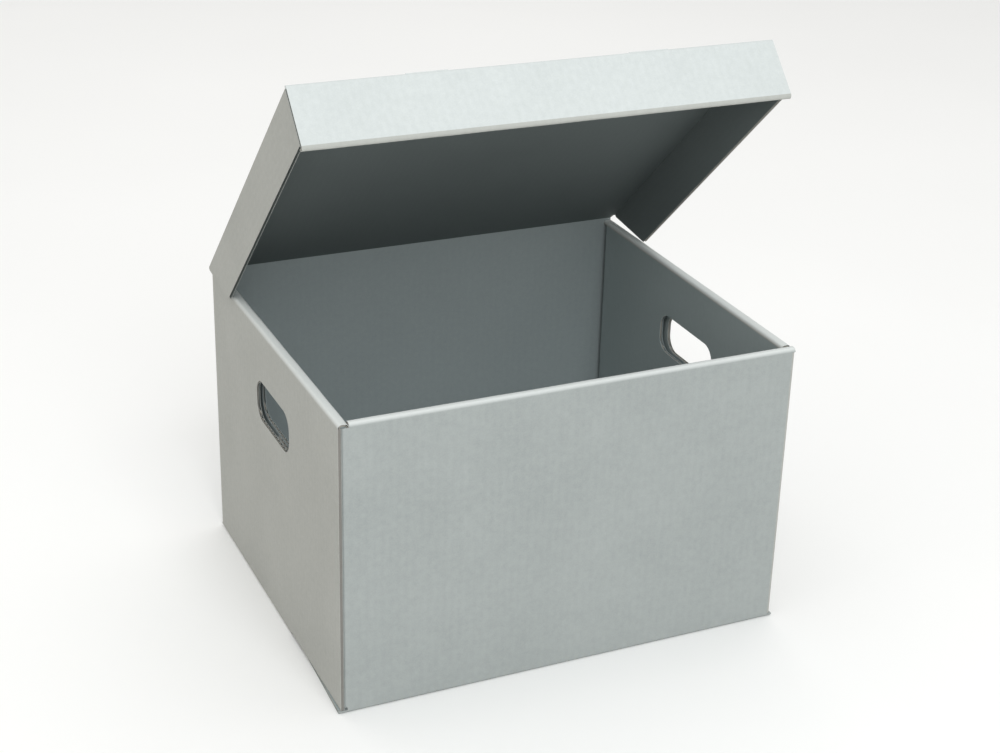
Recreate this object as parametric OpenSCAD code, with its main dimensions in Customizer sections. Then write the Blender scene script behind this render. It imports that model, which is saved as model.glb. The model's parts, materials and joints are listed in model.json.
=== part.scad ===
// Hinged-lid archival records box, folded from corrugated board.
// The four walls are one ring of board, joined at the front left corner. The front and
// side walls roll over at the top and come back down inside. The bottom is closed by flaps,
// and the lid is one with the back wall.
// The origin is the middle of the bottom, +X runs right along the front, +Y runs to the
// back and +Z runs up. Sizes are in millimetres.

/* [Box] */
// Width of the box across its front
box_w = 390; // [320:1:460]
// Depth of the box from front to back
box_d = 326; // [260:1:400]
// Height of the box to the top of its rolled rims
box_h = 252; // [200:1:320]
// Thickness of the corrugated board
board = 2.8; // [2.4:0.1:3]
// Room left inside the rolled front wall, between its two layers
front_slack = 2; // [1:0.1:3]
// Room left inside the rolled side walls, beside their three layers
side_slack = 0.4; // [0.2:0.1:2]

/* [Hand holes] */
// Length of a hand hole in the outer board
hole_len = 84; // [70:1:110]
// Height of a hand hole
hole_high = 36; // [30:1:44]
// Corner radius of a hand hole
hole_r = 14; // [8:1:14]
// Distance from the top of the rim down to the middle of a hand hole
hole_drop = 64.5; // [50:0.5:80]
// How far a hand hole sits forward of the middle of the box
hole_forward = 4.5; // [0:0.5:10]
// How much longer the hole is in the inner layers
inner_hole_extra = 8; // [0:1:12]

/* [Lid] */
// Angle that the lid stands open
lid_open = 43.5; // [0:0.5:180]
// Height of the front lip of the lid
lip_h = 52; // [40:1:60]
// Height of the side flaps of the lid
flap_h = 47; // [35:1:52]
// Gap between a side flap and the box at the hinge
hinge_gap = 0.8; // [0.6:0.1:2]
// Gap between a side flap and the box at the front
front_gap = 3.6; // [1:0.1:5]
// Gap between the closed lip and the front wall
lip_gap = 0.8; // [0.6:0.1:3]
// Length of the corner tabs folded behind the lip
corner_tab = 72; // [40:1:90]

/* [Bottom] */
// Depth of the outer bottom flap that folds in from the front wall
front_flap_d = 122; // [100:1:140]
// How far that flap stands out past the side walls at the front
flap_proud = 1.5; // [0:0.1:2]

/* [Hidden] */
$fn = 64;

// Board colours
outside = "#aab2b0";
inside = "#5f6a6b";
rolled = "#dce5e3";

// Half of the width and of the depth
hw = box_w / 2;
hd = box_d / 2;

// Fit between layers that lie side by side, and between the panels of the lid
fit = 0.2;
seam = 0.05;
eps = 1;

// Rolled rims: wall thicknesses, the radius of a fold and the height where a rim starts
front_w = 2 * board + front_slack;
side_w = 3 * board + side_slack;
rim_r = board + 0.6;
rim_z = box_h - rim_r;
rim_joint = 0.1;
corner_gap = 0.6;

// The side walls start above the front bottom flap, and at floor level behind it
flap_end = -hd + front_flap_d;
flap_joint = 1;
step_z = board + 0.8;

// Layers of the bottom
floor_z = 2 * board;
side_flap_end = hd - 0.5;

// Lock tongue of the front bottom flap
tongue_w = 90;
tongue_root = flap_end - 9;
tongue_tip = flap_end + 46;

// Hand holes and the layers around them
hole_z = box_h - hole_drop;
layer_end = -hole_forward;
inner_wall_back = hd - board - 6;

// Hinge: the outer face of the board is what bends, so the axis lies on it
hinge_x = hw - 2;
hinge_z = box_h + 0.3 + board;
crease_t = 0.6;
crease_u = 1.2;
back_top = box_h - 0.3;

// Lid
lip_w = 2 * board + fit;
lid_l = box_d + lip_gap + lip_w;
lip_r = lip_w / 2;
flap_turn = atan((front_gap - hinge_gap) / lid_l);
flap_back = 6;
flap_back_low = 42;
lock_x = 92;
lock_w = 34;
lock_out = 1.2;

// Half width of the lid inside its flaps, a distance u in front of the hinge
function lid_half(u) = hw + hinge_gap + (front_gap - hinge_gap) * u / lid_l;

// A box from its lowest corner to its highest corner
module block(low, high) {
    translate(low)
        cube(high - low);
}

// The quarter round of a folded crease that runs along Z, curving towards dir
module crease_z(at, dir, z0, z1) {
    intersection() {
        translate([at[0], at[1], z0])
            cylinder(r = board, h = z1 - z0);
        translate([at[0] + min(dir[0], 0) * board, at[1] + min(dir[1], 0) * board, z0])
            cube([board, board, z1 - z0]);
    }
}

// The same along X, where dir is in Y and Z
module crease_x(at, dir, x0, x1) {
    intersection() {
        translate([x0, at[0], at[1]])
            rotate([0, 90, 0])
                cylinder(r = board, h = x1 - x0);
        translate([x0, at[0] + min(dir[0], 0) * board, at[1] + min(dir[1], 0) * board])
            cube([x1 - x0, board, board]);
    }
}

// The same along Y, where dir is in X and Z
module crease_y(at, dir, y0, y1) {
    intersection() {
        translate([at[0], y1, at[1]])
            rotate([90, 0, 0])
                cylinder(r = board, h = y1 - y0);
        translate([at[0] + min(dir[0], 0) * board, y0, at[1] + min(dir[1], 0) * board])
            cube([board, y1 - y0, board]);
    }
}

// Section of a rolled rim: board folded twice over a wall of thickness w
module rim_section(w) {
    difference() {
        union() {
            translate([rim_r, 0])
                square([w - 2 * rim_r, rim_r]);
            intersection() {
                union() {
                    translate([rim_r, 0])
                        circle(r = rim_r);
                    translate([w - rim_r, 0])
                        circle(r = rim_r);
                }
                square([w, rim_r]);
            }
        }
        translate([board, -eps])
            square([w - 2 * board, rim_r - board + eps]);
    }
}

// Outline of a hand hole
module hole_outline(extra) {
    l = hole_len + extra;
    square([l - 2 * hole_r, hole_high], center = true);
    square([l, hole_high - 2 * hole_r], center = true);
    for (x = [-1, 1], z = [-1, 1])
        translate([x * (l / 2 - hole_r), z * (hole_high / 2 - hole_r)])
            circle(r = hole_r);
}

// A hand hole cut through a side wall at x0
module hand_hole(x0, extra) {
    translate([x0 - eps, -hole_forward, hole_z])
        rotate([90, 0, 90])
            linear_extrude(board + 2 * eps)
                hole_outline(extra);
}

// Places a piece of the lid, drawn closed with the hinge axis at the origin
module on_lid() {
    translate([0, hd, hinge_z])
        rotate([-lid_open, 0, 0])
            children();
}

// ---- Ring of outer walls ----

// Front wall: it turns under at the bottom, and back behind the left wall at the joint
module front_wall() {
    color(outside) {
        block([-hw + 2 * board, -hd, board], [hw - board, -hd + board, rim_z]);
        crease_x([-hd + board, board], [-1, -1], -hw + 2 * board, hw - board);
    }
}

// Outer side wall on the left, with its hand hole and its turn into the back wall
module outer_side() {
    difference() {
        union() {
            block([-hw, -hd + board, step_z], [-hw + board, hd - board, rim_z]);
            block([-hw, flap_end + flap_joint, board], [-hw + board, hd - board, step_z]);
            crease_z([-hw + board, hd - board], [-1, 1], board, rim_z);
        }
        hand_hole(-hw, 0);
    }
}

// Left wall: its raw front edge shows at the glued corner
module left_wall() {
    color(outside) {
        outer_side();
        block([-hw, -hd, step_z], [-hw + board, -hd + board, rim_z]);
    }
}

// Right wall: it turns into the front wall at the corner
module right_wall() {
    color(outside) {
        mirror([1, 0, 0])
            outer_side();
        crease_z([hw - board, -hd + board], [1, -1], step_z, rim_z);
    }
}

// Back wall: one layer, which carries the lid
module back_wall() {
    color(inside)
        block([-hw + board, hd - board, floor_z], [hw - board, hd, back_top]);
}

// Glue tab of the front wall, long enough to back the front of the left hand hole
module left_joint_tab() {
    color(outside)
        difference() {
            union() {
                block(
                    [-hw + board, -hd + board, floor_z],
                    [-hw + 2 * board, layer_end, rim_z]
                );
                crease_z([-hw + 2 * board, -hd + board], [-1, -1], floor_z, rim_z);
            }
            hand_hole(-hw + board, inner_hole_extra / 2);
        }
}

// ---- Rolled front wall ----

// Fold over the top of the front wall, from the left rim out to the right corner
module front_rim() {
    color(rolled)
        translate([-hw + side_w + rim_joint, -hd, rim_z])
            rotate([90, 0, 90])
                linear_extrude(box_w - side_w - 2 * rim_joint)
                    rim_section(front_w);
}

// Inner layer of the front wall, standing on the bottom
module front_inner_wall() {
    color(inside)
        block(
            [-hw + 2 * board + fit, -hd + front_w - board, floor_z],
            [hw - 2 * board, -hd + front_w, rim_z]
        );
}

// Wing of that layer, held inside the right wall behind the front of its hand hole
module front_inner_wing() {
    color(inside)
        difference() {
            union() {
                block(
                    [hw - 2 * board, -hd + front_w, floor_z],
                    [hw - board, layer_end, rim_z]
                );
                crease_z([hw - 2 * board, -hd + front_w], [1, -1], floor_z, rim_z);
            }
            hand_hole(hw - 2 * board, inner_hole_extra / 2);
        }
}

// ---- Rolled side walls ----

// Fold over the top of a side wall from y0 to y1, drawn on the left
module side_rim(y0, y1) {
    translate([-hw, y1, rim_z])
        rotate([90, 0, 0])
            linear_extrude(y1 - y0)
                rim_section(side_w);
}

// Inner layer of a side wall, drawn on the left
module inner_side() {
    difference() {
        block(
            [-hw + side_w - board, -hd + front_w + rim_joint, floor_z],
            [-hw + side_w, inner_wall_back, rim_z]
        );
        hand_hole(-hw + side_w - board, inner_hole_extra);
    }
}

// The left rim runs out to the front face, where its cut end shows
module left_rim() {
    color(rolled)
        side_rim(-hd, hd - board - rim_joint);
}

module left_inner_wall() {
    color(inside)
        inner_side();
}

// The right rim stops behind the front one
module right_rim() {
    color(rolled)
        mirror([1, 0, 0])
            side_rim(-hd + front_w + corner_gap, hd - board - rim_joint);
}

module right_inner_wall() {
    color(inside)
        mirror([1, 0, 0])
            inner_side();
}

// ---- Bottom ----

// Outer bottom flap from the front wall, notched where its lock tongue turns up
module front_bottom_flap() {
    edge_x = hw + flap_proud;
    color(outside) {
        linear_extrude(board)
            polygon([
                [-edge_x, -hd + board],
                [edge_x, -hd + board],
                [hw - board, flap_end],
                [tongue_w / 2 + fit, flap_end],
                [tongue_w / 2 + fit, tongue_root],
                [-tongue_w / 2 - fit, tongue_root],
                [-tongue_w / 2 - fit, flap_end],
                [-hw + board, flap_end]
            ]);
        crease_x([-hd + board, board], [-1, -1], -edge_x, -hw + 2 * board);
        crease_x([-hd + board, board], [-1, -1], hw - board, edge_x);
    }
}

// Tongue that passes up through the inner bottom and lies on it
module bottom_lock_tongue() {
    rise = 2 * board;
    color(inside)
        translate([-tongue_w / 2, 0, 0])
            rotate([90, 0, 90])
                linear_extrude(tongue_w)
                    polygon([
                        [tongue_root, 0],
                        [tongue_root + 3, 0],
                        [tongue_root + 3 + rise - board / 3, rise],
                        [tongue_tip, rise],
                        [tongue_tip, rise + board],
                        [tongue_root + rise, rise + board],
                        [tongue_root, board]
                    ]);
}

// Bottom flap of a side wall, behind the front flap and level with it
module side_bottom_flap() {
    block([-hw + board, flap_end + flap_joint, 0], [-0.5, side_flap_end, board]);
    crease_y([-hw + board, board], [-1, -1], flap_end + flap_joint, side_flap_end);
}

module left_bottom_flap() {
    color(outside)
        side_bottom_flap();
}

module right_bottom_flap() {
    color(outside)
        mirror([1, 0, 0])
            side_bottom_flap();
}

// Inner bottom from the back wall: the floor that the contents stand on
module back_bottom_flap() {
    floor_x = hw - board - fit;
    color(inside) {
        difference() {
            block([-floor_x, -hd + board + fit, board], [floor_x, hd - board, floor_z]);
            block(
                [-tongue_w / 2 - 1, tongue_root - 1, board - eps],
                [tongue_w / 2 + 1, flap_end - fit, floor_z + eps]
            );
        }
        crease_x([hd - board, floor_z], [1, -1], -hw + board, hw - board);
    }
}

// ---- Lid ----

// Creased outer face between the back wall and the lid
module hinge_crease() {
    crease_r = crease_t / 2;
    color(outside) {
        block([-hinge_x, hd - crease_t, back_top], [hinge_x, hd, hinge_z - crease_r]);
        translate([-hinge_x, hd - crease_r, hinge_z - crease_r])
            rotate([0, 90, 0])
                cylinder(r = crease_r, h = 2 * hinge_x);
    }
}

// Top panel, slotted at the front for the lock tabs of the lip
module lid_top() {
    front_u = lid_l - board;
    color(outside)
        on_lid()
            translate([0, 0, -board])
                linear_extrude(board)
                    difference() {
                        polygon([
                            [-hinge_x, -crease_u],
                            [-hinge_x, -flap_back],
                            [-lid_half(flap_back), -flap_back],
                            [-lid_half(front_u), -front_u],
                            [lid_half(front_u), -front_u],
                            [lid_half(flap_back), -flap_back],
                            [hinge_x, -flap_back],
                            [hinge_x, -crease_u]
                        ]);
                        for (side = [-1, 1])
                            translate([side * lock_x - lock_w / 2 - fit, -front_u - eps])
                                square([lock_w + 2 * fit, lip_w - board + fit + eps]);
                    }
}

// Side flap on the left, outside the wall, with its rear end cut back at a slant
module side_flap() {
    flap_front = lid_l - 2 * board - seam;
    translate([-lid_half(0) - board - seam, 0, 0])
        rotate([0, 0, -flap_turn]) {
            rotate([90, 0, 90])
                linear_extrude(board)
                    polygon([
                        [-flap_back, -board],
                        [-flap_back, -board - 2],
                        [-flap_back_low, -flap_h],
                        [-flap_front, -flap_h],
                        [-flap_front, -board]
                    ]);
            crease_y([board, -board], [-1, 1], -flap_front - board, -flap_back);
        }
}

module lid_left_flap() {
    color(outside)
        on_lid()
            side_flap();
}

module lid_right_flap() {
    color(outside)
        on_lid()
            mirror([1, 0, 0])
                side_flap();
}

// Corner tab turned in from a side flap and glued behind the lip, drawn on the left
module corner_tab_piece() {
    x0 = -lid_half(lid_l);
    y0 = -lid_l + board;
    block([x0, y0, -flap_h], [x0 + corner_tab, y0 + board, -board]);
    crease_z([x0, y0 + board], [-1, -1], -flap_h, -board);
}

module lid_left_corner_tab() {
    color(inside)
        on_lid()
            corner_tab_piece();
}

module lid_right_corner_tab() {
    color(inside)
        on_lid()
            mirror([1, 0, 0])
                corner_tab_piece();
}

// Outer layer of the front lip, across the full width of the lid
module lid_lip() {
    x1 = lid_half(lid_l) + board;
    color(rolled)
        on_lid() {
            block([-x1, -lid_l, -lip_h + lip_r], [x1, -lid_l + board, -board]);
            crease_x([-lid_l + board, -board], [-1, 1], -x1, x1);
        }
}

// Rolled lower edge of the lip
module lid_lip_rim() {
    x1 = lid_half(lid_l) + board;
    color(rolled)
        on_lid()
            translate([-x1, -lid_l + lip_r, -lip_h + lip_r])
                rotate([90, 0, 90])
                    linear_extrude(2 * x1)
                        difference() {
                            circle(r = lip_r);
                            translate([-lip_w, 0])
                                square([2 * lip_w, lip_w]);
                        }
}

// Inner layer of the lip, between the corner tabs
module lid_lip_inner() {
    x1 = lid_half(lid_l) - corner_tab - fit;
    color(inside)
        on_lid()
            block(
                [-x1, -lid_l + lip_w - board, -lip_h + lip_r],
                [x1, -lid_l + lip_w, -board]
            );
}

// Lock tab of the inner layer, which pokes up through the top panel
module lock_tab() {
    block(
        [-lock_x - lock_w / 2, -lid_l + lip_w - board, -board],
        [-lock_x + lock_w / 2, -lid_l + lip_w, lock_out]
    );
}

module lid_left_lock_tab() {
    color(outside)
        on_lid()
            lock_tab();
}

module lid_right_lock_tab() {
    color(outside)
        on_lid()
            mirror([1, 0, 0])
                lock_tab();
}

front_wall();
right_wall();
back_wall();
left_wall();
left_joint_tab();
front_rim();
front_inner_wall();
front_inner_wing();
left_rim();
left_inner_wall();
right_rim();
right_inner_wall();
front_bottom_flap();
bottom_lock_tongue();
left_bottom_flap();
right_bottom_flap();
back_bottom_flap();
hinge_crease();
lid_top();
lid_left_flap();
lid_right_flap();
lid_left_corner_tab();
lid_right_corner_tab();
lid_lip();
lid_lip_rim();
lid_lip_inner();
lid_left_lock_tab();
lid_right_lock_tab();
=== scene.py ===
import json
import math

import bmesh
import bpy
from mathutils import Matrix, Vector, noise


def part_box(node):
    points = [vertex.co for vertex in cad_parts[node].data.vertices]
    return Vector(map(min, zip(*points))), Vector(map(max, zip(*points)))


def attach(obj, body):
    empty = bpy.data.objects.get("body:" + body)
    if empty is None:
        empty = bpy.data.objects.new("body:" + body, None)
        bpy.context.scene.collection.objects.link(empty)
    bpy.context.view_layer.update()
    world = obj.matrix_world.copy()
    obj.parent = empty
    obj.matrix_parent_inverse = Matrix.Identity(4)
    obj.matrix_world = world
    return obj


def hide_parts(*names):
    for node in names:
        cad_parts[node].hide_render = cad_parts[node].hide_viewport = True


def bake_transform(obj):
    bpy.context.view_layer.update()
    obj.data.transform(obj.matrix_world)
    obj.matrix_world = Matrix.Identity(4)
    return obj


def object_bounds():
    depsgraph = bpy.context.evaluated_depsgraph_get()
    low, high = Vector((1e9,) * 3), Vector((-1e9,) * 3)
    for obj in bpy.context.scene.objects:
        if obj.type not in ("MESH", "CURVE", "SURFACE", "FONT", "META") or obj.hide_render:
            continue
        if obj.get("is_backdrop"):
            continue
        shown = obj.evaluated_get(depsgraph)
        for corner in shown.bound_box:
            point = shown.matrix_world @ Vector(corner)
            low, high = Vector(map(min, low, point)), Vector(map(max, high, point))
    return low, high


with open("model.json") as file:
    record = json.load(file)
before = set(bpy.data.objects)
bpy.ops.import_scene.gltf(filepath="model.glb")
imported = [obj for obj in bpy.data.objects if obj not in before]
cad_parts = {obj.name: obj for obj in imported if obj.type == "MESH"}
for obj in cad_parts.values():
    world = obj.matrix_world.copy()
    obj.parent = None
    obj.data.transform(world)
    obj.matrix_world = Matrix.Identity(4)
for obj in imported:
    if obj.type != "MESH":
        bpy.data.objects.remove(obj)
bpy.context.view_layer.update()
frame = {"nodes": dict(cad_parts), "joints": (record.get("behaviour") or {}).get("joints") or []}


# ---- Table, light and camera ----
# The box stands on a pale matt table in a bright room. A softbox in front shines in under the
# lid, a second one hangs high up behind, and there is a little fill from the left. The box is
# seen from its front left and from above.
mm = 0.001


def linear(code):
    """An sRGB hex colour as linear red, green and blue, with an alpha of 1."""
    parts = [int(code[i : i + 2], 16) / 255 for i in (1, 3, 5)]
    return [c / 12.92 if c <= 0.04045 else ((c + 0.055) / 1.055) ** 2.4 for c in parts] + [1]


def add_node(tree, kind, values=None, links=None, **settings):
    """Adds a shader node with its settings, socket values and incoming links."""
    node = tree.nodes.new(kind)
    for key, value in settings.items():
        setattr(node, key, value)
    for key, value in (values or {}).items():
        node.inputs[key].default_value = value
    for key, source in (links or {}).items():
        tree.links.new(source, node.inputs[key])
    return node


# Melamine table top: white with a faint cloudiness, and a dull sheen.
table_melamine = bpy.data.materials.new("white_melamine")
table_melamine.use_nodes = True
tree = table_melamine.node_tree
shader = tree.nodes["Principled BSDF"]
shader.inputs["Roughness"].default_value = 0.8
shader.inputs["IOR"].default_value = 1.45
where = add_node(tree, "ShaderNodeTexCoord")
cloud = add_node(
    tree,
    "ShaderNodeTexNoise",
    {"Scale": 1.8, "Detail": 2.0},
    {"Vector": where.outputs["Object"]},
)
tint = add_node(
    tree,
    "ShaderNodeMix",
    {6: linear("#F3F3F2"), 7: linear("#F8F8F7")},
    {"Factor": cloud.outputs["Fac"]},
    data_type="RGBA",
)
tree.links.new(tint.outputs[2], shader.inputs["Base Color"])

bm = bmesh.new()
bmesh.ops.create_grid(bm, x_segments=2, y_segments=2, size=9)
table_mesh = bpy.data.meshes.new("table_top")
bm.to_mesh(table_mesh)
bm.free()
table_mesh.materials.append(table_melamine)
table_top = bpy.data.objects.new("table_top", table_mesh)
bpy.context.scene.collection.objects.link(table_top)
table_top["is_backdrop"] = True

room = bpy.data.worlds.new("studio_room")
bpy.context.scene.world = room
room.use_nodes = True
room.node_tree.nodes["Background"].inputs["Color"].default_value = linear("#F5F5F4")
room.node_tree.nodes["Background"].inputs["Strength"].default_value = 0.76


def soft_light(name, stand, aim, size, power, colour):
    """A square softbox at stand, turned towards aim."""
    data = bpy.data.lights.new(name, "AREA")
    data.size = size
    data.energy = power
    data.color = linear(colour)[:3]
    lamp = bpy.data.objects.new(name, data)
    bpy.context.scene.collection.objects.link(lamp)
    lamp.location = stand
    lamp.rotation_euler = (Vector(aim) - Vector(stand)).to_track_quat("-Z", "Y").to_euler()


soft_light("back_softbox", (0.3, 1.3, 3.0), (0.2, 1.5, 0.0), 2.6, 21, "#FFFDFA")
soft_light("front_softbox", (-0.4, -2.4, 2.35), (0.0, 0.1, 0.2), 1.8, 52, "#FAFDFF")
soft_light("left_fill", (-3.0, -0.4, 1.2), (0.0, 0.0, 0.1), 1.6, 6, "#FFF4E4")

camera = bpy.data.objects.new("camera", bpy.data.cameras.new("camera"))
bpy.context.scene.collection.objects.link(camera)
bpy.context.scene.camera = camera
camera.data.sensor_width = 36
camera.data.lens = 67.16
camera.data.clip_end = 50
to_right = Vector((0.9128, -0.4076, 0.0254)).normalized()
ahead = Vector((0.3801, 0.8252, -0.4179))
ahead = (ahead - to_right * ahead.dot(to_right)).normalized()
aim = Matrix((to_right, to_right.cross(ahead), -ahead)).transposed()
camera.matrix_world = Matrix.Translation((-0.5962, -1.3131, 0.8524)) @ aim.to_4x4()
bpy.context.scene.view_settings.view_transform = "Standard"


# ---- Left wall, outer layer ----
# B-flute corrugated board, 2.8 mm thick: two sheets of blue-grey liner paper with a fluted
# sheet glued between them. The flutes stand upright, the hand hole is die cut, and
# the front edge is raw, because the ring of walls is glued together at this corner.
board = 2.8
liner = 0.3
medium = 0.2
flute_pitch = 6.4
flute_steps = 8
flute_clearance = 0.3
flute_margin = 0.4
step_lift = 0.8
hole_middle = (-4.5, 187.5)
hole_height = 36
hole_radius = 14
outer_hole = 84
box_low, box_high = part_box("left_wall")
half_w = -box_low.x / mm
half_d = box_high.y / mm
rim_z = box_high.z / mm
flap_low, flap_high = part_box("left_bottom_flap")
step_y = flap_low.y / mm
step_z = box_low.z / mm + step_lift


def liner_paper(name, dark, light, across, tilt=0.0, edge=None):
    """Liner paper: matt and slightly cloudy, with fine fibres, and the flutes showing
    through as faint stripes. across is the axis that the stripes repeat along. edge is a
    pair of heights between which the paper is drawn ever paler: a painted highlight."""
    paper = bpy.data.materials.new(name)
    paper.use_nodes = True
    tree = paper.node_tree
    shader = tree.nodes["Principled BSDF"]
    shader.inputs["IOR"].default_value = 1.45
    shader.inputs["Specular IOR Level"].default_value = 0.35
    where = add_node(tree, "ShaderNodeTexCoord")
    turned = add_node(
        tree,
        "ShaderNodeMapping",
        {"Rotation": (math.radians(tilt), 0, 0)},
        {"Vector": where.outputs["Object"]},
    )
    at = {"Vector": turned.outputs["Vector"]}
    # Clouds 70 mm wide, mottling of 5 mm, and fibres drawn 1.2 mm wide so that they show.
    cloud_width, mottle_width, fibre_width = 0.07, 0.005, 0.0012
    cloud = add_node(tree, "ShaderNodeTexNoise", {"Scale": 1 / cloud_width, "Detail": 2.0}, at)
    mottle = add_node(tree, "ShaderNodeTexNoise", {"Scale": 1 / mottle_width, "Detail": 3.0}, at)
    fibre = add_node(tree, "ShaderNodeTexNoise", {"Scale": 1 / fibre_width, "Detail": 2.0}, at)
    # How much each of them, and the stripes, moves the colour from dark to light.
    cloud_share, mottle_share, fibre_share, stripe_share = 0.35, 0.45, 0.4, 0.04
    # Blender's bands repeat every 2 pi / 20 of a unit at a scale of 1.
    stripes = add_node(
        tree,
        "ShaderNodeTexWave",
        {"Scale": 2 * math.pi / 20 / (flute_pitch * mm), "Distortion": 0.6, "Detail": 1.0},
        at,
        wave_type="BANDS",
        bands_direction=across,
    )
    soft = add_node(
        tree,
        "ShaderNodeMath",
        {1: cloud_share, 2: -0.1},
        {0: cloud.outputs["Fac"]},
        operation="MULTIPLY_ADD",
    )
    softer = add_node(
        tree,
        "ShaderNodeMath",
        {1: mottle_share},
        {0: mottle.outputs["Fac"], 2: soft.outputs[0]},
        operation="MULTIPLY_ADD",
    )
    fine = add_node(
        tree,
        "ShaderNodeMath",
        {1: fibre_share},
        {0: fibre.outputs["Fac"], 2: softer.outputs[0]},
        operation="MULTIPLY_ADD",
    )
    striped = add_node(
        tree,
        "ShaderNodeMath",
        {1: stripe_share},
        {0: stripes.outputs["Fac"], 2: fine.outputs[0]},
        operation="MULTIPLY_ADD",
    )
    tint = add_node(
        tree,
        "ShaderNodeMix",
        {6: linear(dark), 7: linear(light)},
        {"Factor": striped.outputs[0]},
        data_type="RGBA",
    )
    # Painted highlight: between the two heights the colour is mixed ever further towards pale
    # grey.
    if edge:
        place = add_node(tree, "ShaderNodeSeparateXYZ", {}, {"Vector": where.outputs["Object"]})
        highlight_blend = add_node(
            tree,
            "ShaderNodeMapRange",
            {"From Min": edge[0] * mm, "From Max": edge[1] * mm},
            {"Value": place.outputs["Z"]},
        )
        tint = add_node(
            tree,
            "ShaderNodeMix",
            {7: linear("#D6DAD8")},
            {"Factor": highlight_blend.outputs["Result"], 6: tint.outputs[2]},
            data_type="RGBA",
        )
    rough = add_node(
        tree,
        "ShaderNodeMapRange",
        {"From Min": 0.3, "From Max": 0.7, "To Min": 0.82, "To Max": 0.94},
        {"Value": mottle.outputs["Fac"]},
    )
    relief = add_node(
        tree,
        "ShaderNodeBump",
        {"Strength": 0.3, "Distance": 0.1 * mm},
        {"Height": striped.outputs[0]},
    )
    tree.links.new(tint.outputs[2], shader.inputs["Base Color"])
    tree.links.new(rough.outputs["Result"], shader.inputs["Roughness"])
    tree.links.new(relief.outputs["Normal"], shader.inputs["Normal"])
    return paper


# The sides' outer liner is drawn warmer than the front's, though it is the same paper: painted
# light, for the warmer light that falls on the left side.
side_paper = liner_paper("side_liner_paper", "#959691", "#B6B7B2", "Y")
side_inside = liner_paper("side_inner_liner_paper", "#939E9E", "#A7B1B2", "Y")
# The raw edge at the glued corner is drawn darker than the liners and the fluting: painted shade
# for its flute channels, over the fluting's own warm grey.
raw_edge_shade = liner_paper("raw_edge_shade_paper", "#716F6B", "#84827D", "Z")
# Fluting medium, drawn as a warmer grey than the liners.
fluting = liner_paper("fluting_paper", "#A29E96", "#C0BCB3", "Z")


def lay(origin, across, along, inward):
    """Where a panel lies: a point on its outer face, and its directions across the flutes,
    along the flutes and into the board, for sizes in millimetres."""
    turn = Matrix((across, along, inward)).transposed() * mm
    return Matrix.Translation(Vector(origin) * mm) @ turn.to_4x4()


def solid(bm, outline, depth, place, material):
    """A flat outline made solid between two depths. Returns its faces."""
    before = set(bm.faces)
    face = bm.faces.new([bm.verts.new(place @ Vector((a, b, depth[0]))) for a, b in outline])
    grown = bmesh.ops.extrude_face_region(bm, geom=[face])["geom"]
    bmesh.ops.translate(
        bm,
        vec=place.to_3x3() @ Vector((0, 0, depth[1] - depth[0])),
        verts=[v for v in grown if isinstance(v, bmesh.types.BMVert)],
    )
    made = [f for f in bm.faces if f not in before]
    for f in made:
        f.material_index = material
    return made


def corrugated(bm, outline, place, flutes=None, cuts=()):
    """A panel of board: outer liner, inner liner and the fluted sheet between them. flutes is
    the fluted sheet's own rectangle where it isn't the outline's, and cuts trim it."""
    solid(bm, outline, (0, liner), place, 0)
    inner_sheet = solid(bm, outline, (board - liner, board), place, 1)
    bm.normal_update()
    facing = (place.to_3x3() @ Vector((0, 0, 1))).normalized()
    for f in inner_sheet:
        # The cut edges of the inner liner are drawn in the outer paper.
        if abs(f.normal.dot(facing)) < 0.5:
            f.material_index = 0
    (a0, b0), (a1, b1) = flutes or (
        (min(a for a, b in outline), min(b for a, b in outline)),
        (max(a for a, b in outline), max(b for a, b in outline)),
    )
    before = set(bm.faces)
    swing = board / 2 - liner - flute_clearance
    steps = round((a1 - a0) / flute_pitch * flute_steps)
    a0, a1 = a0 + flute_margin, a1 - flute_margin
    line = []
    for i in range(steps + 1):
        a = a0 + (a1 - a0) * i / steps
        height = board / 2 + swing * math.sin(2 * math.pi * (a - a0) / flute_pitch)
        line.append(bm.verts.new(place @ Vector((a, b0, height))))
    edges = [bm.edges.new(pair) for pair in zip(line, line[1:])]
    grown = bmesh.ops.extrude_edge_only(bm, edges=edges)["geom"]
    bmesh.ops.translate(
        bm,
        vec=place.to_3x3() @ Vector((0, b1 - b0, 0)),
        verts=[v for v in grown if isinstance(v, bmesh.types.BMVert)],
    )
    for point, outward in cuts:
        sheet = [f for f in bm.faces if f not in before]
        parts = set(sheet)
        for f in sheet:
            parts.update(f.verts)
            parts.update(f.edges)
        bmesh.ops.bisect_plane(
            bm,
            geom=list(parts),
            plane_co=place @ Vector((*point, 0)),
            plane_no=place.to_3x3() @ Vector((*outward, 0)),
            clear_outer=True,
        )
    sheet = [f for f in bm.faces if f not in before]
    bmesh.ops.recalc_face_normals(bm, faces=sheet)
    bmesh.ops.solidify(bm, geom=sheet, thickness=medium * mm)
    for f in bm.faces:
        if f not in before:
            f.material_index = 2
            f.smooth = True


def fold(bm, start, end, arm, to, place=Matrix.Identity(4), material=0):
    """The quarter-round bend between two panels. arm points from the crease line to the
    outer face of the first panel and to, to that of the second."""
    turn = place.to_3x3()
    start, end = (place @ (Vector(p) * mm) for p in (start, end))
    arm, to = (turn @ (Vector(v) * mm) for v in (arm, to))
    before = set(bm.verts)
    face = bm.faces.new([bm.verts.new(p) for p in (start, end, end + arm, start + arm)])
    bmesh.ops.spin(
        bm,
        geom=[face],
        cent=start,
        axis=arm.cross(to).normalized(),
        angle=math.pi / 2,
        steps=8,
        use_merge=False,
    )
    made = [v for v in bm.verts if v not in before]
    bmesh.ops.remove_doubles(bm, verts=made, dist=0.01 * mm)
    for f in {f for v in made if v.is_valid for f in v.link_faces}:
        f.material_index = material


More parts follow.
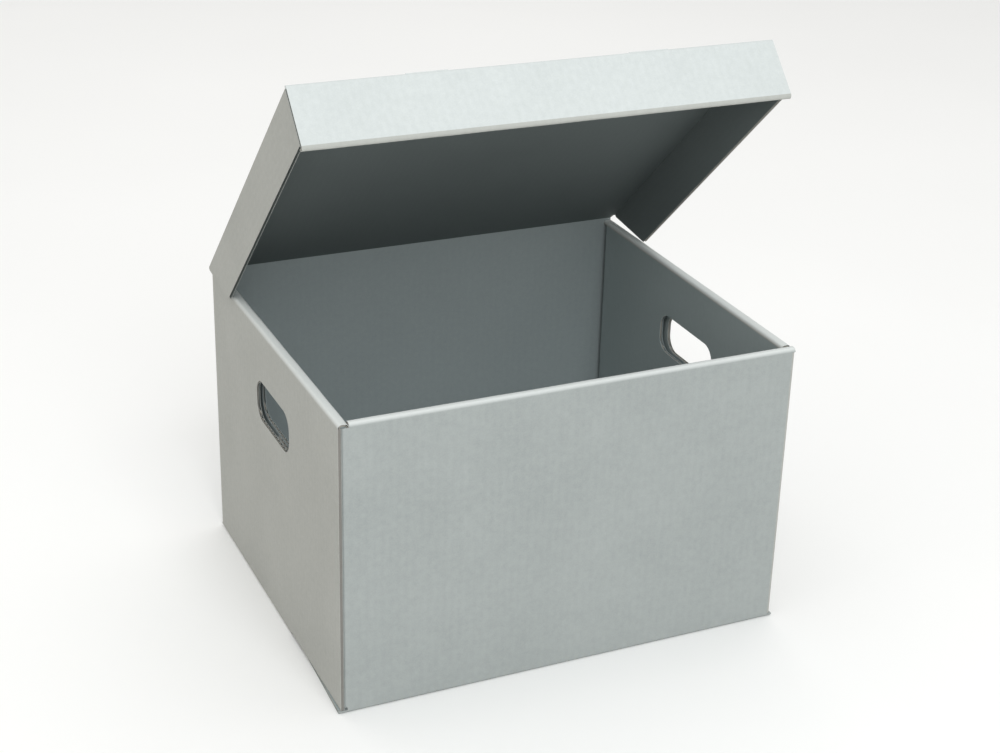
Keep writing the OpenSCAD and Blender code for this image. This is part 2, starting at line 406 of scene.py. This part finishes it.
def face_outward(bm):
    """Turns every closed shell of the board the right way out, by the sign of its volume."""
    bmesh.ops.recalc_face_normals(bm, faces=bm.faces[:])
    bm.normal_update()
    unseen = set(bm.faces)
    while unseen:
        shell = [unseen.pop()]
        for f in shell:
            near = {g for e in f.edges for g in e.link_faces} & unseen
            unseen -= near
            shell += near
        if sum(f.calc_center_median().dot(f.normal) * f.calc_area() for f in shell) < 0:
            bmesh.ops.reverse_faces(bm, faces=shell)


def die_cut(bm, knife):
    """Cuts the knife's shape out of a panel, as the die does before the board is folded."""
    cast = []
    for shape in (bm, knife):
        face_outward(shape)
        mesh = bpy.data.meshes.new("die")
        shape.to_mesh(mesh)
        cast.append(bpy.data.objects.new("die", mesh))
        bpy.context.scene.collection.objects.link(cast[-1])
    for i in range(3):
        cast[0].data.materials.append(None)
    cut = cast[0].modifiers.new("die_cut", "BOOLEAN")
    cut.operation = "DIFFERENCE"
    cut.solver = "EXACT"
    cut.object = cast[1]
    bpy.context.view_layer.update()
    left = bpy.data.meshes.new_from_object(
        cast[0].evaluated_get(bpy.context.evaluated_depsgraph_get())
    )
    bm.clear()
    bm.from_mesh(left)
    knife.free()
    for die in cast:
        bpy.data.objects.remove(die)


def hand_hole(bm, x, length):
    """Cuts a hand hole in a panel at x, with a block that has rounded corners."""
    knife = bmesh.new()
    made = bmesh.ops.create_cube(knife, size=1)["verts"]
    depth = 14
    bmesh.ops.scale(knife, vec=(depth * mm, length * mm, hole_height * mm), verts=made)
    bmesh.ops.translate(knife, vec=Vector((x, *hole_middle)) * mm, verts=made)
    corners = [
        e for e in knife.edges if abs(e.verts[0].co.x - e.verts[1].co.x) > depth / 2 * mm
    ]
    bmesh.ops.bevel(
        knife,
        geom=corners,
        offset=hole_radius * mm,
        offset_type="OFFSET",
        segments=10,
        profile=0.5,
        affect="EDGES",
        material=-1,
    )
    die_cut(bm, knife)


def finish_piece(name, bm, papers, body, nodes):
    """Turns a bmesh into a finished piece that stands for its nodes and rides on its body."""
    mesh = bpy.data.meshes.new(name)
    face_outward(bm)
    bm.to_mesh(mesh)
    bm.free()
    piece = bpy.data.objects.new(name, mesh)
    bpy.context.scene.collection.objects.link(piece)
    for paper in papers:
        mesh.materials.append(paper)
    piece.data.shade_smooth()
    piece.data.set_sharp_from_angle(angle=math.radians(32))
    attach(piece, body)
    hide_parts(*nodes)
    return piece


side_outline = [
    (-half_d, step_z),
    (step_y, step_z),
    (step_y, board),
    (half_d - board, board),
    (half_d - board, rim_z),
    (-half_d, rim_z),
]
flutes_start = 2
bm = bmesh.new()
corrugated(
    bm,
    side_outline,
    lay((-half_w, 0, 0), (0, 1, 0), (0, 0, 1), (1, 0, 0)),
    flutes=((-half_d + flutes_start, step_z), (half_d - board, rim_z)),
)
hand_hole(bm, -half_w, outer_hole)
back_corner = (-half_w + board, half_d - board)
fold(bm, (*back_corner, board), (*back_corner, rim_z), (-board, 0, 0), (0, board, 0))
# The raw edge at the glued corner is drawn nearly filled, with a dark strip in place of the
# fluting; its dark paper is a painted shade for the flute channels.
strip_inset, strip_front, strip_back = 0.4, 0.15, 1.5
crushed = [
    (strip_inset, strip_front),
    (board - strip_inset, strip_front),
    (board - strip_inset, strip_back),
    (strip_inset, strip_back),
]
corner = lay((-half_w, -half_d, 0), (1, 0, 0), (0, 1, 0), (0, 0, 1))
solid(bm, crushed, (step_z, rim_z), corner, 3)
finish_piece(
    "left_wall_board",
    bm,
    [side_paper, side_inside, fluting, raw_edge_shade],
    "box",
    ["left_wall"],
)


# ---- Right wall, outer layer ----
# The same board in one piece round the corners: it bends into the back wall and into the
# front wall, and has a hand hole like the left one.
bm = bmesh.new()
corrugated(
    bm,
    [(-half_d + board, step_z)] + side_outline[1:5] + [(-half_d + board, rim_z)],
    lay((half_w, 0, 0), (0, 1, 0), (0, 0, 1), (-1, 0, 0)),
    flutes=((-half_d + board, step_z), (half_d - board, rim_z)),
)
hand_hole(bm, half_w, outer_hole)
right_back = (half_w - board, half_d - board)
right_front = (half_w - board, -half_d + board)
fold(bm, (*right_back, board), (*right_back, rim_z), (board, 0, 0), (0, board, 0))
fold(bm, (*right_front, step_z), (*right_front, rim_z), (board, 0, 0), (0, -board, 0))
finish_piece(
    "right_wall_board",
    bm,
    [side_paper, side_inside, fluting],
    "box",
    ["right_wall"],
)


# ---- Front wall, outer layer ----
# Bent round into the right wall, and under at the bottom into the outer bottom flap. At
# its left end it bends back behind the left wall as a glue tab.
# The front's outer liner is drawn cooler than the sides', though it is the same paper: painted
# light, for the cooler light on the front.
front_paper = liner_paper("front_liner_paper", "#8B9190", "#ABB0AE", "X")
front_inside = liner_paper("front_inner_liner_paper", "#939E9E", "#A7B1B2", "X")
front_left = -half_w + 2 * board
bm = bmesh.new()
corrugated(
    bm,
    [
        (front_left, board),
        (half_w - board, board),
        (half_w - board, rim_z),
        (front_left, rim_z),
    ],
    lay((0, -half_d, 0), (1, 0, 0), (0, 0, 1), (0, 1, 0)),
)
low_line = (-half_d + board, board)
fold(bm, (front_left, *low_line), (half_w - board, *low_line), (0, -board, 0), (0, 0, -board))
finish_piece(
    "front_wall_board",
    bm,
    [front_paper, front_inside, fluting],
    "box",
    ["front_wall"],
)


# ---- Middle layers of the side walls ----
# The glue tab on the left and the wing of the front's inner layer on the right are single
# panels of the same board. Each ends in the middle of its hand hole, so the front half of
# the hole has three layers and the back half two, with a gap between them.
middle_hole = 88
floor_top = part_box("left_joint_tab")[0].z / mm
tab_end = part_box("left_joint_tab")[1].y / mm
bm = bmesh.new()
corrugated(
    bm,
    [
        (-half_d + board, floor_top),
        (tab_end, floor_top),
        (tab_end, rim_z),
        (-half_d + board, rim_z),
    ],
    lay((-half_w + board, 0, 0), (0, 1, 0), (0, 0, 1), (1, 0, 0)),
)
hand_hole(bm, -half_w + board, middle_hole)
tab_bend = (front_left, -half_d + board)
fold(bm, (*tab_bend, floor_top), (*tab_bend, rim_z), (-board, 0, 0), (0, -board, 0))
finish_piece(
    "left_joint_tab_board",
    bm,
    [front_paper, front_inside, fluting],
    "box",
    ["left_joint_tab"],
)

wing_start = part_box("front_inner_wall")[1].y / mm
bm = bmesh.new()
corrugated(
    bm,
    [
        (wing_start, floor_top),
        (tab_end, floor_top),
        (tab_end, rim_z),
        (wing_start, rim_z),
    ],
    lay((half_w - board, 0, 0), (0, 1, 0), (0, 0, 1), (-1, 0, 0)),
)
hand_hole(bm, half_w - board, middle_hole)
wing_bend = (half_w - 2 * board, wing_start)
fold(bm, (*wing_bend, floor_top), (*wing_bend, rim_z), (board, 0, 0), (0, -board, 0))
finish_piece(
    "front_inner_wing_board",
    bm,
    [front_inside, front_inside, fluting],
    "box",
    ["front_inner_wing"],
)


# ---- Inner layers of the side walls ----
# The side panels come down inside from the rolled rims and stand on the bottom. Their hand
# holes are a little longer than the outer ones, and they stop short of the back wall.
inner_hole = 92
inner_low, inner_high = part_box("left_inner_wall")
inner_outline = [
    (inner_low.y / mm, floor_top),
    (inner_high.y / mm, floor_top),
    (inner_high.y / mm, rim_z),
    (inner_low.y / mm, rim_z),
]
for side, name in ((-1, "left"), (1, "right")):
    face_x = side * -inner_low.x / mm
    bm = bmesh.new()
    corrugated(bm, inner_outline, lay((face_x, 0, 0), (0, 1, 0), (0, 0, 1), (-side, 0, 0)))
    hand_hole(bm, face_x, inner_hole)
    finish_piece(
        f"{name}_inner_wall_board",
        bm,
        [side_inside, side_inside, fluting],
        "box",
        [f"{name}_inner_wall"],
    )


# ---- Rolled rims ----
# The board is scored twice and rolled over the top of the wall. The roll is drawn with fine
# dents a flute apart and is painted paler towards its top, a painted highlight where it faces the
# light, and the cut ends show the liners and the crushed fluting as arches one inside the other.
top_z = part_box("front_rim")[1].z / mm
# The roll's top is painted paler between these heights: a painted highlight where it faces the
# light.
roll_highlight_heights = (rim_z + 0.2, top_z - 0.4)
rolled_paper = liner_paper("rolled_liner_paper", "#8B9190", "#ABB0AE", "X", edge=roll_highlight_heights)
rolled_side_paper = liner_paper("rolled_side_liner_paper", "#959691", "#B6B7B2", "Y", edge=roll_highlight_heights)
# The outer liner, the crushed fluting and the inner liner of a roll: the depths that each lies
# between, and its material.
roll_layers = ((0, liner, 0), (1.25, 1.5, 2), (2.3, 2.55, 1))
arch_steps = 6
flute_dent = 0.06
handling_dent = 0.3


def roll(bm, width, height, radius, place, length):
    """Board rolled over an edge, from one face at 0 to the other at width, and that long."""
    centre = Vector((width / 2, 0, 0))
    for inset, inner, material in roll_layers:
        ring = []
        for depth, turn in ((inset, 1), (inner, -1)):
            arch = []
            for i in range(arch_steps + 1):
                angle = math.pi / 2 * i / arch_steps
                across = radius - (radius - depth) * math.cos(angle)
                up = max(height - radius, 0) + (radius - depth) * math.sin(angle)
                arch.append((across, up))
            arch = [(depth, 0)] + arch if height > radius else arch
            arch += [(width - a, b) for a, b in reversed(arch)]
            ring += arch[::turn]
        faces = solid(bm, ring, (0, length), Matrix.Identity(4), material)
        long_edges = {
            e for f in faces for e in f.edges if abs(e.verts[0].co.z - e.verts[1].co.z) > 1
        }
        steps = round(length / (flute_pitch / 4))
        bmesh.ops.subdivide_edges(bm, edges=list(long_edges), cuts=steps - 1)
    for v in bm.verts:
        dent = flute_dent * (1 - math.cos(2 * math.pi * v.co.z / flute_pitch)) / 2
        at = Vector((v.co.x * 0.05, v.co.y * 0.05, v.co.z * 0.02))
        dent += handling_dent * abs(noise.noise(at))
        inward = centre - Vector((v.co.x, v.co.y, 0))
        v.co += inward.normalized() * dent * min(1, v.co.y / 1.5)
        v.co = place @ v.co


rim_radius = 3
low, high = (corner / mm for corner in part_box("front_rim"))
bm = bmesh.new()
rim_height = high.z - rim_z
at = lay((low.x, low.y, rim_z), (0, 1, 0), (0, 0, 1), (1, 0, 0))
roll(bm, high.y - low.y, rim_height, rim_radius, at, high.x - low.x)
finish_piece(
    "front_rim_roll",
    bm,
    [rolled_paper, front_inside, fluting],
    "box",
    ["front_rim"],
)
for side, name in ((-1, "left_rim"), (1, "right_rim")):
    low, high = (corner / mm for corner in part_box(name))
    bm = bmesh.new()
    roll(
        bm,
        high.x - low.x,
        rim_height,
        rim_radius,
        lay((side * half_w, low.y, rim_z), (-side, 0, 0), (0, 0, 1), (0, 1, 0)),
        high.y - low.y,
    )
    finish_piece(
        f"{name}_roll",
        bm,
        [rolled_side_paper, side_inside, fluting],
        "box",
        [name],
    )


# ---- Bottom ----
# Two layers under the contents. The front flap and the two side flaps lie in the outer
# layer, and the back flap lies on them. The front flap stands out a little past the side
# walls, so its raw edge shows low on the left. It is notched for the tongue that locks it.
notch_width, notch_length, notch_depth = 90.4, 20, 10
notch_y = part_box("bottom_lock_tongue")[0].y
front_flap_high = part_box("front_bottom_flap")[1] / mm
edge_x, back_x, flap_end = front_flap_high.x, half_w - board, front_flap_high.y
slant = (flap_end + half_d - board, edge_x - back_x)
bm = bmesh.new()
corrugated(
    bm,
    [
        (-edge_x, -half_d + board),
        (edge_x, -half_d + board),
        (back_x, flap_end),
        (-back_x, flap_end),
    ],
    lay((0, 0, 0), (1, 0, 0), (0, 1, 0), (0, 0, 1)),
    cuts=[((-back_x, flap_end), (-slant[0], slant[1])), ((back_x, flap_end), slant)],
)
knife = bmesh.new()
made = bmesh.ops.create_cube(knife, size=1)["verts"]
bmesh.ops.scale(
    knife, vec=(notch_width * mm, notch_length * mm, notch_depth * mm), verts=made
)
bmesh.ops.translate(knife, vec=(0, notch_y + notch_length / 2 * mm, 0), verts=made)
die_cut(bm, knife)
fold(bm, (-edge_x, *low_line), (front_left, *low_line), (0, -board, 0), (0, 0, -board))
fold(bm, (half_w - board, *low_line), (edge_x, *low_line), (0, -board, 0), (0, 0, -board))
finish_piece(
    "front_bottom_flap_board",
    bm,
    [front_paper, front_inside, fluting],
    "box",
    ["front_bottom_flap"],
)
half_gap = 0.5
side_flap_end = flap_high.y / mm
for side, name in ((-1, "left"), (1, "right")):
    bm = bmesh.new()
    corrugated(
        bm,
        [
            (step_y, half_gap),
            (side_flap_end, half_gap),
            (side_flap_end, half_w - board),
            (step_y, half_w - board),
        ],
        lay((0, 0, 0), (0, 1, 0), (side, 0, 0), (0, 0, 1)),
    )
    bend_x = side * (half_w - board)
    fold(
        bm,
        (bend_x, step_y, board),
        (bend_x, side_flap_end, board),
        (side * board, 0, 0),
        (0, 0, -board),
    )
    finish_piece(
        f"{name}_bottom_flap_board",
        bm,
        [side_paper, side_inside, fluting],
        "box",
        [f"{name}_bottom_flap"],
    )

# The inner bottom, the tongue, the back wall and the front's inner layer show only their
# faces, so the plain panels keep their shape and take the liner paper.
back_inside = liner_paper("back_liner_paper", "#8D9697", "#A0A9A9", "X")
bottom_inside = liner_paper("bottom_liner_paper", "#B4BCBB", "#C8CECC", "X")
for name in ("back_wall", "front_inner_wall", "bottom_lock_tongue"):
    frame["nodes"][name].material_slots[0].material = back_inside
frame["nodes"]["back_bottom_flap"].material_slots[0].material = bottom_inside


# ---- Lid ----
# One panel with the back wall, hinged on the crease along its top. The flutes run from back
# to front. The side flaps fold down outside the walls, and are cut back at a slant behind.
hinge = frame["joints"][0]
open_angle = -hinge["range_deg"][0]
lid_at = Matrix.Translation(Vector(hinge["pos_m"])) @ Matrix.Rotation(
    math.radians(-open_angle), 4, "X"
)
lid_length = 332.6
lid_start = 1.2
flap_back = 6
hinge_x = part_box("hinge_crease")[1].x / mm
lid_half_back, lid_half_front = half_w + 0.8, half_w + 3.6
flap_turn = math.atan((lid_half_front - lid_half_back) / lid_length)
# The lid's outer liner is drawn much paler than the walls' outer liner, though it is the same
# paper: painted light on its upper face.
lit_lid_paper = liner_paper("lit_lid_liner_paper", "#C4C9C8", "#D8DCDA", "X")
# The lid's inner liner is drawn far darker than the box's inner liner: painted shade on the
# underside, which faces down, away from the light. It also lines the inside of the lip, its roll
# and the corner tabs.
shaded_lid_underside = liner_paper("lid_inner_liner_painted_shade", "#596060", "#697170", "X")
# The lid's side flaps take the side walls' warmer tone because they face the same way: painted
# light.
flap_paper = liner_paper("lid_flap_liner_paper", "#959691", "#B6B7B2", "Z", open_angle)
# The flaps' inner liner is drawn just as dark: painted shade.
shaded_flap_underside = liner_paper("lid_flap_inner_liner_painted_shade", "#5F6666", "#707877", "Z", open_angle)


def lid_half(u):
    """Half the lid's width inside its flaps, u in front of the hinge."""
    return lid_half_back + (lid_half_front - lid_half_back) * u / lid_length


front_u = lid_length - board
slope = (lid_half(front_u) - lid_half(flap_back), front_u - flap_back)
bm = bmesh.new()
corrugated(
    bm,
    [
        (-hinge_x, lid_start),
        (-hinge_x, flap_back),
        (-lid_half(flap_back), flap_back),
        (-lid_half(front_u), front_u),
        (lid_half(front_u), front_u),
        (lid_half(flap_back), flap_back),
        (hinge_x, flap_back),
        (hinge_x, lid_start),
    ],
    lid_at @ lay((0, 0, 0), (1, 0, 0), (0, -1, 0), (0, 0, -1)),
    flutes=((-lid_half(front_u), lid_start), (lid_half(front_u), front_u)),
    cuts=[
        ((-lid_half(flap_back), flap_back), (-slope[1], -slope[0])),
        ((lid_half(flap_back), flap_back), (slope[1], -slope[0])),
    ],
)
# The slots that the lock tabs poke through: middle, and the size of the knife.
slot_x, slot_y, slot_z = 92, -front_u + 0.2, -1.4
slot_size = Vector((34.4, 6, 8))
knife = bmesh.new()
for side in (-1, 1):
    made = bmesh.ops.create_cube(knife, size=1)["verts"]
    bmesh.ops.scale(knife, vec=slot_size * mm, verts=made)
    bmesh.ops.translate(knife, vec=Vector((side * slot_x, slot_y, slot_z)) * mm, verts=made)
bmesh.ops.transform(knife, matrix=lid_at, verts=knife.verts[:])
die_cut(bm, knife)
finish_piece(
    "lid_top_board", bm, [lit_lid_paper, shaded_lid_underside, fluting], "lid", ["lid_top"]
)

seam = 0.05
flap_front = lid_length - 2 * board - seam
flap_depth, flap_upright, flap_back_low = 47, 2, 42
mirrored = {-1: Matrix.Identity(4), 1: Matrix.Scale(-1, 4, (1, 0, 0))}
for side, name in ((-1, "left"), (1, "right")):
    at = (
        lid_at
        @ mirrored[side]
        @ Matrix.Translation(Vector((-lid_half_back - board - seam, 0, 0)) * mm)
        @ Matrix.Rotation(-flap_turn, 4, "Z")
    )
    bm = bmesh.new()
    corrugated(
        bm,
        [
            (board, flap_back),
            (board + flap_upright, flap_back),
            (flap_depth, flap_back_low),
            (flap_depth, flap_front),
            (board, flap_front),
        ],
        at @ lay((0, 0, 0), (0, 0, -1), (0, -1, 0), (1, 0, 0)),
        cuts=[
            (
                (board + flap_upright, flap_back),
                (flap_back_low - flap_back, board + flap_upright - flap_depth),
            )
        ],
    )
    fold(
        bm,
        (board, -flap_back, -board),
        (board, -flap_front - board, -board),
        (-board, 0, 0),
        (0, 0, board),
        place=at,
    )
    finish_piece(
        f"lid_{name}_flap_board",
        bm,
        [flap_paper, shaded_flap_underside, fluting],
        "lid",
        [f"lid_{name}_flap"],
    )


# ---- Front lip of the lid ----
# The lid's front folds down, rolls under and comes back up inside as a second layer. The
# corner tabs of the side flaps are caught between the two, and two tabs of the inner layer
# poke up through slots in the lid and lock it.
lip_half = lid_half(lid_length) + board
lip_width = 2 * board + 0.2
lip_radius = lip_width / 2
lip_depth = 52
lip_low = lip_depth - lip_radius
corner_tab_length, corner_tab_depth = 72, 47
lock_tab_width, lock_tab_out = 34, 1.2
# The lip is drawn much paler than the front wall, though it is the same paper: painted light
# where it faces the light. Its roll is drawn darker than the lip's face: painted shade where it
# turns under.
lit_lip_paper = liner_paper("lit_lip_liner_paper", "#B7BDBC", "#D4D9D8", "X")
lip_roll_paper = liner_paper("lip_roll_liner_paper", "#A2A49F", "#BBBDB8", "X")
bm = bmesh.new()
corrugated(
    bm,
    [(-lip_half, -lip_low), (lip_half, -lip_low), (lip_half, -board), (-lip_half, -board)],
    lid_at @ lay((0, -lid_length, 0), (1, 0, 0), (0, 0, 1), (0, 1, 0)),
)
top_line = (-lid_length + board, -board)
fold(
    bm,
    (-lip_half, *top_line),
    (lip_half, *top_line),
    (0, -board, 0),
    (0, 0, board),
    place=lid_at,
)
finish_piece(
    "lid_lip_board", bm, [lit_lip_paper, shaded_lid_underside, fluting], "lid", ["lid_lip"]
)

bm = bmesh.new()
roll(
    bm,
    lip_width,
    lip_radius,
    lip_radius,
    lid_at @ lay((-lip_half, -lid_length, -lip_low), (0, 1, 0), (0, 0, -1), (1, 0, 0)),
    2 * lip_half,
)
finish_piece(
    "lid_lip_roll",
    bm,
    [lip_roll_paper, shaded_lid_underside, fluting],
    "lid",
    ["lid_lip_rim"],
)
frame["nodes"]["lid_lip_inner"].material_slots[0].material = shaded_lid_underside

corner_x, tab_y = -lid_half(lid_length), -lid_length + board
tab_end_x = corner_x + corner_tab_length
lock_tab_start = -slot_x - lock_tab_width / 2
lock_tab_end = -slot_x + lock_tab_width / 2
for side, name in ((-1, "left"), (1, "right")):
    at = lid_at @ mirrored[side]
    bm = bmesh.new()
    corrugated(
        bm,
        [
            (corner_x, -corner_tab_depth),
            (tab_end_x, -corner_tab_depth),
            (tab_end_x, -board),
            (corner_x, -board),
        ],
        at @ lay((0, tab_y, 0), (1, 0, 0), (0, 0, 1), (0, 1, 0)),
    )
    fold(
        bm,
        (corner_x, tab_y + board, -corner_tab_depth),
        (corner_x, tab_y + board, -board),
        (-board, 0, 0),
        (0, -board, 0),
        place=at,
    )
    finish_piece(
        f"lid_{name}_corner_tab_board",
        bm,
        [flap_paper, shaded_lid_underside, fluting],
        "lid",
        [f"lid_{name}_corner_tab"],
    )
    bm = bmesh.new()
    corrugated(
        bm,
        [
            (lock_tab_start, -board),
            (lock_tab_end, -board),
            (lock_tab_end, lock_tab_out),
            (lock_tab_start, lock_tab_out),
        ],
        at @ lay((0, slot_y, 0), (1, 0, 0), (0, 0, 1), (0, 1, 0)),
    )
    finish_piece(
        f"lid_{name}_lock_tab_board",
        bm,
        [lit_lid_paper, lit_lid_paper, fluting],
        "lid",
        [f"lid_{name}_lock_tab"],
    )


# ---- Hinge crease ----
# The board between the back wall and the lid, crushed along the score so that it bends
# freely. Its outer face turns on the hinge line, and its inner face opens with the lid.
bend_at = Vector(hinge["pos_m"]) / mm
crease_drop = 3.4
lid_edge = [lid_at @ (Vector((0, -lid_start, depth)) * mm) / mm for depth in (0, -board)]
wall_edge = Vector((0, bend_at.y - board, bend_at.z - crease_drop))
outer_line = [
    Vector((0, bend_at.y, bend_at.z - crease_drop * (1 - i / 4))) for i in range(5)
] + [lid_edge[0]]
inner_line = [wall_edge.lerp(lid_edge[1], i / 5) for i in range(6)]
bm = bmesh.new()
section = bm.faces.new([bm.verts.new(p * mm) for p in outer_line + inner_line[::-1]])
bmesh.ops.translate(bm, vec=(-hinge_x * mm, 0, 0), verts=bm.verts[:])
grown = bmesh.ops.extrude_face_region(bm, geom=[section])["geom"]
bmesh.ops.translate(
    bm,
    vec=(2 * hinge_x * mm, 0, 0),
    verts=[v for v in grown if isinstance(v, bmesh.types.BMVert)],
)
for f in bm.faces:
    inside = f.calc_center_median().y < (bend_at.y - board / 2) * mm
    f.material_index = 1 if inside else 0
bmesh.ops.recalc_face_normals(bm, faces=bm.faces[:])
crease_mesh = bpy.data.meshes.new("hinge_crease_fold")
bm.to_mesh(crease_mesh)
bm.free()
crease = bpy.data.objects.new("hinge_crease_fold", crease_mesh)
bpy.context.scene.collection.objects.link(crease)
crease_mesh.materials.append(lit_lid_paper)
crease_mesh.materials.append(back_inside)
crease_mesh.shade_smooth()
crease_mesh.set_sharp_from_angle(angle=math.radians(50))
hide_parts("hinge_crease")
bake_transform(crease)


# ---- Sizes and finish ----
# The bounds of the finished model are measured, without the table.
low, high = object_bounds()
